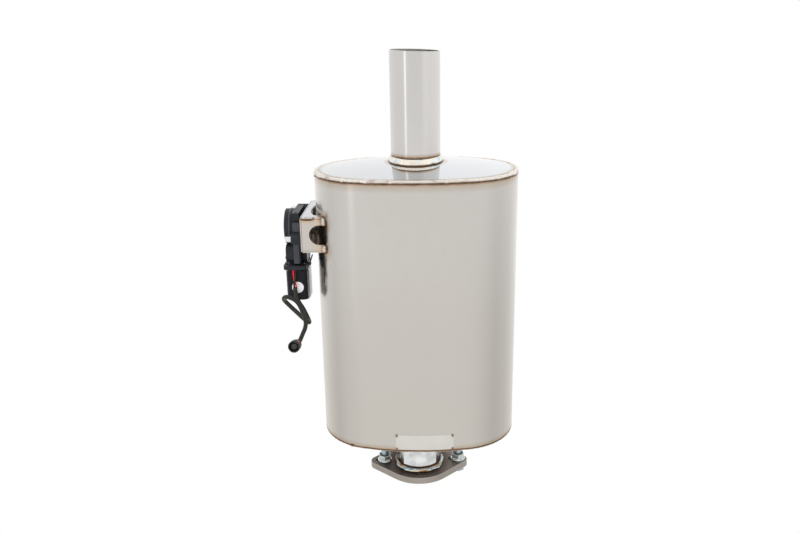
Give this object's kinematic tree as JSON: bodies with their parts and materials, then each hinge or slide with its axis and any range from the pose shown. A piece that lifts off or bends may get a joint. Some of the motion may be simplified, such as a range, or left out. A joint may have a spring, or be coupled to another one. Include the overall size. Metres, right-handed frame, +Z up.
{
  "type": "valved muffler",
  "caption": "Oval stainless exhaust muffler: bolted inlet flange, straight outlet pipe, inner butterfly valve turned by a motor gearbox on its side, with a short lead",
  "frame": {"origin": "centre of the inlet flange's lower (mating) face, on the pipes' axis", "axes": "+Z up along the pipes from the inlet flange to the outlet pipe; +X away from the motor gearbox; -Y the side with the label plate"},
  "size_m": [0.3053, 0.1932, 0.5896],
  "materials": {
    "satin_stainless": "satin brushed stainless sheet",
    "bright_stainless": "bright rolled stainless sheet",
    "pipe_stainless": "drawn stainless tube",
    "flange_steel": "dark steel plate, heat-tinted",
    "zinc_steel": "blue zinc plating",
    "inner_steel": "plain machined steel",
    "bronze": "sintered bronze",
    "bracket_stainless": "welded stainless sheet",
    "black_plastic": "black glass-filled moulding",
    "motor_steel": "drawn steel can",
    "tie_nylon": "black nylon",
    "red_insulation": "red wire insulation",
    "black_insulation": "black wire insulation",
    "sheath_rubber": "black rubber",
    "label_metal": "thin bright plate"
  },
  "bodies": {
    "muffler": {"inlet_flange": "flange_steel", "flange_bolt_left": "zinc_steel", "flange_bolt_right": "zinc_steel", "flange_nut_left": "zinc_steel", "flange_nut_right": "zinc_steel", "inlet_neck": "pipe_stainless", "outlet_pipe": "pipe_stainless", "body_shell": "satin_stainless", "top_end_plate": "bright_stainless", "bottom_end_plate": "satin_stainless", "label_plate": "label_metal", "lower_core_tube": "inner_steel", "upper_core_tube": "inner_steel", "lower_baffle": "inner_steel", "upper_baffle": "inner_steel", "valve_housing": "inner_steel", "inner_bush": "bronze", "far_bush": "bronze", "outer_bush": "bronze", "bush_cap": "inner_steel", "shaft_guide_tube": "inner_steel", "bracket_face": "bracket_stainless", "bracket_upper_flange": "bracket_stainless", "bracket_lower_flange": "bracket_stainless", "bracket_front_cheek": "bracket_stainless", "bracket_back_cheek": "bracket_stainless", "gear_housing": "black_plastic", "gear_cover": "black_plastic", "cover_screw_1": "zinc_steel", "cover_screw_2": "zinc_steel", "cover_screw_3": "zinc_steel", "ear_screw_1": "zinc_steel", "ear_screw_2": "zinc_steel", "ear_screw_3": "zinc_steel", "motor_flange": "black_plastic", "motor_can": "motor_steel", "motor_screw_left": "zinc_steel", "motor_screw_right": "zinc_steel", "cable_tie": "tie_nylon", "red_wire": "red_insulation", "black_wire": "black_insulation", "cable_sheath": "sheath_rubber", "cable_connector": "sheath_rubber"},
    "valve": {"valve_shaft": "inner_steel", "valve_disc": "inner_steel", "disc_screw_outer": "zinc_steel", "disc_screw_inner": "zinc_steel", "shaft_coupling": "inner_steel", "output_drive": "zinc_steel"}
  },
  "joints": [
    {"name": "valve_turn", "type": "hinge", "parent": "muffler", "child": "valve", "pos_m": [0, 0, 0.359], "axis": [1, 0, 0], "range_deg": [0, 90]}
  ]
}
